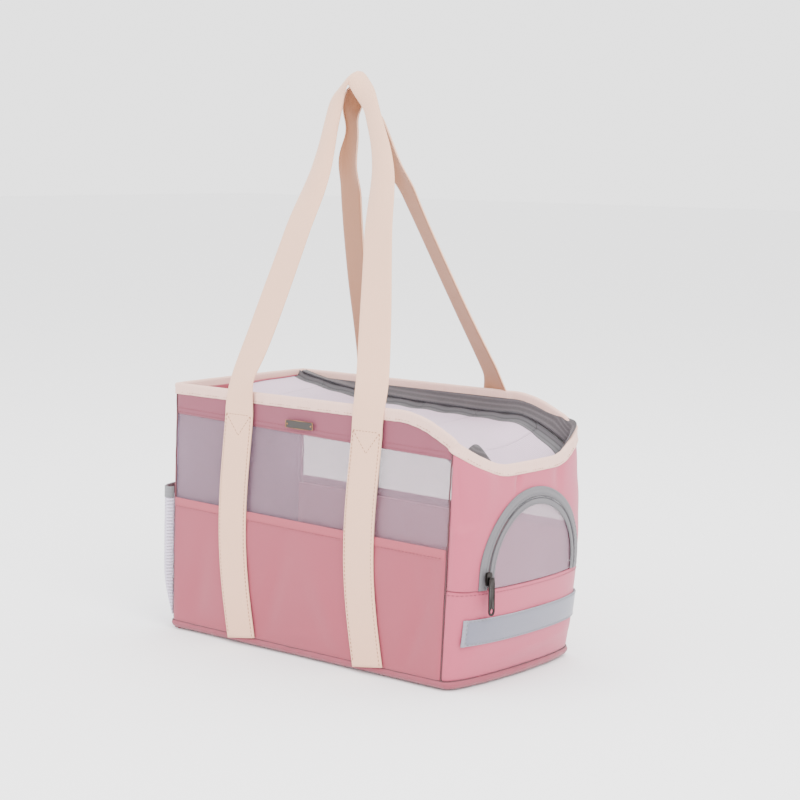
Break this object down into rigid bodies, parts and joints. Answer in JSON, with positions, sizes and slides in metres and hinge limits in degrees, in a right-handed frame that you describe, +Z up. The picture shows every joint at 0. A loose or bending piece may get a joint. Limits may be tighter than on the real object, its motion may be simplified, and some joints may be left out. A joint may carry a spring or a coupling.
{
  "type": "pet carrier bag",
  "caption": "Soft carrier bag with mesh windows, zipped mesh top cover, arched zipped end door, flat and end pockets, and webbing carry handles.",
  "frame": {"origin": "middle of the underside, on the surface the bag stands on", "axes": "+X towards the end with the arched door, -Y towards the front, +Z up"},
  "size_m": [0.4216, 0.2032, 0.5834],
  "materials": {
    "pink_fabric": "woven oxford cloth",
    "light_pink_fabric": "woven oxford cloth",
    "lining": "smooth lining cloth",
    "mesh": "fine see-through mesh",
    "cream_webbing": "woven webbing",
    "binding": "ribbed binding tape",
    "zip_tape": "woven zip tape",
    "zip_coil": "moulded coil",
    "strip_grey": "looped pile",
    "gunmetal": "dark plated",
    "label_brown": "embossed",
    "pad_fabric": "soft woven cover",
    "board_grey": "plain board"
  },
  "bodies": {
    "bag": {"front_lower_panel": "pink_fabric", "front_window": "mesh", "front_top_band": "pink_fabric", "front_pocket": "pink_fabric", "front_binding": "binding", "seam_piping_front_left": "pink_fabric", "strap_front_left": "cream_webbing", "seam_piping_front_right": "pink_fabric", "strap_front_right": "cream_webbing", "back_lower_panel": "pink_fabric", "back_window": "mesh", "back_top_band": "pink_fabric", "back_pocket": "pink_fabric", "back_binding": "binding", "seam_piping_back_left": "pink_fabric", "strap_back_left": "cream_webbing", "seam_piping_back_right": "pink_fabric", "strap_back_right": "cream_webbing", "left_end_panel": "lining", "end_lower_panel": "light_pink_fabric", "end_upper_panel": "light_pink_fabric", "floor_panel": "pink_fabric", "base_piping": "pink_fabric", "base_board": "board_grey", "pad": "pad_fabric", "left_binding": "binding", "right_binding": "binding", "label_plate": "label_brown", "hook_loop_strip": "strip_grey", "side_pocket": "mesh", "side_pocket_elastic": "strip_grey", "door_zip_tape": "zip_tape", "door_zip_teeth": "zip_coil", "top_zip_tape": "zip_tape", "top_zip_teeth": "zip_coil", "left_facing": "light_pink_fabric", "cover_anchor": "light_pink_fabric"},
    "handle_front": {"handle_front": "cream_webbing"},
    "handle_back": {"handle_back": "cream_webbing"},
    "door": {"door_mesh": "mesh", "door_edge_tape": "zip_tape"},
    "door_slider": {"door_slider": "gunmetal"},
    "door_pull": {"door_pull": "gunmetal"},
    "top_slider": {"top_slider": "gunmetal"},
    "top_pull": {"top_pull": "gunmetal"},
    "cover_1": {"cover_panel_1": "mesh"},
    "cover_2": {"cover_panel_2": "mesh"},
    "cover_3": {"cover_panel_3": "mesh"},
    "cover_4": {"cover_panel_4": "mesh"},
    "cover_5": {"cover_panel_5": "mesh"}
  },
  "joints": [
    {"name": "handle_front_swing", "type": "hinge", "parent": "bag", "child": "handle_front", "pos_m": [0, -0.1016, 0.2623], "axis": [1, 0, 0], "range_deg": [0, 140]},
    {"name": "handle_back_swing", "type": "hinge", "parent": "bag", "child": "handle_back", "pos_m": [0, 0.1016, 0.2623], "axis": [-1, 0, 0], "range_deg": [0, 140]},
    {"name": "door_open", "type": "hinge", "parent": "bag", "child": "door", "pos_m": [0.20881, 0, 0.0965], "axis": [0, 1, 0], "range_deg": [0, 150]},
    {"name": "door_slider_travel", "type": "hinge", "parent": "bag", "child": "door_slider", "pos_m": [0.2051, 0, 0.108], "axis": [-1, 0, 0], "range_deg": [0, 180]},
    {"name": "door_pull_lift", "type": "hinge", "parent": "door_slider", "child": "door_pull", "pos_m": [0.2084, -0.072, 0.1095], "axis": [0, -1, 0], "range_deg": [0, 150]},
    {"name": "top_slider_travel", "type": "slide", "parent": "bag", "child": "top_slider", "axis": [-1, 0, 0], "range_m": [0, 0.225]},
    {"name": "top_pull_lift", "type": "hinge", "parent": "top_slider", "child": "top_pull", "pos_m": [0.104, -0.0863, 0.2335], "axis": [1, 0, 0], "range_deg": [0, 90]},
    {"name": "cover_fold_1", "type": "hinge", "parent": "bag", "child": "cover_1", "pos_m": [-0.183, 0, 0.2308], "axis": [0, 1, 0], "range_deg": [0, 68]},
    {"name": "cover_fold_2", "type": "hinge", "parent": "cover_1", "child": "cover_2", "pos_m": [-0.113, 0, 0.232], "axis": [0, 1, 0], "range_deg": [-136, 0]},
    {"name": "cover_fold_3", "type": "hinge", "parent": "cover_2", "child": "cover_3", "pos_m": [-0.043, 0, 0.2308], "axis": [0, 1, 0], "range_deg": [0, 136]},
    {"name": "cover_fold_4", "type": "hinge", "parent": "cover_3", "child": "cover_4", "pos_m": [0.027, 0, 0.232], "axis": [0, 1, 0], "range_deg": [-136, 0]},
    {"name": "cover_fold_5", "type": "hinge", "parent": "cover_4", "child": "cover_5", "pos_m": [0.097, 0, 0.2308], "axis": [0, 1, 0], "range_deg": [0, 136]}
  ],
  "couplings": [
    {"joint": "cover_fold_2", "follows": "cover_fold_1", "ratio": -2},
    {"joint": "cover_fold_3", "follows": "cover_fold_1", "ratio": 2},
    {"joint": "cover_fold_4", "follows": "cover_fold_1", "ratio": -2},
    {"joint": "cover_fold_5", "follows": "cover_fold_1", "ratio": 2}
  ]
}
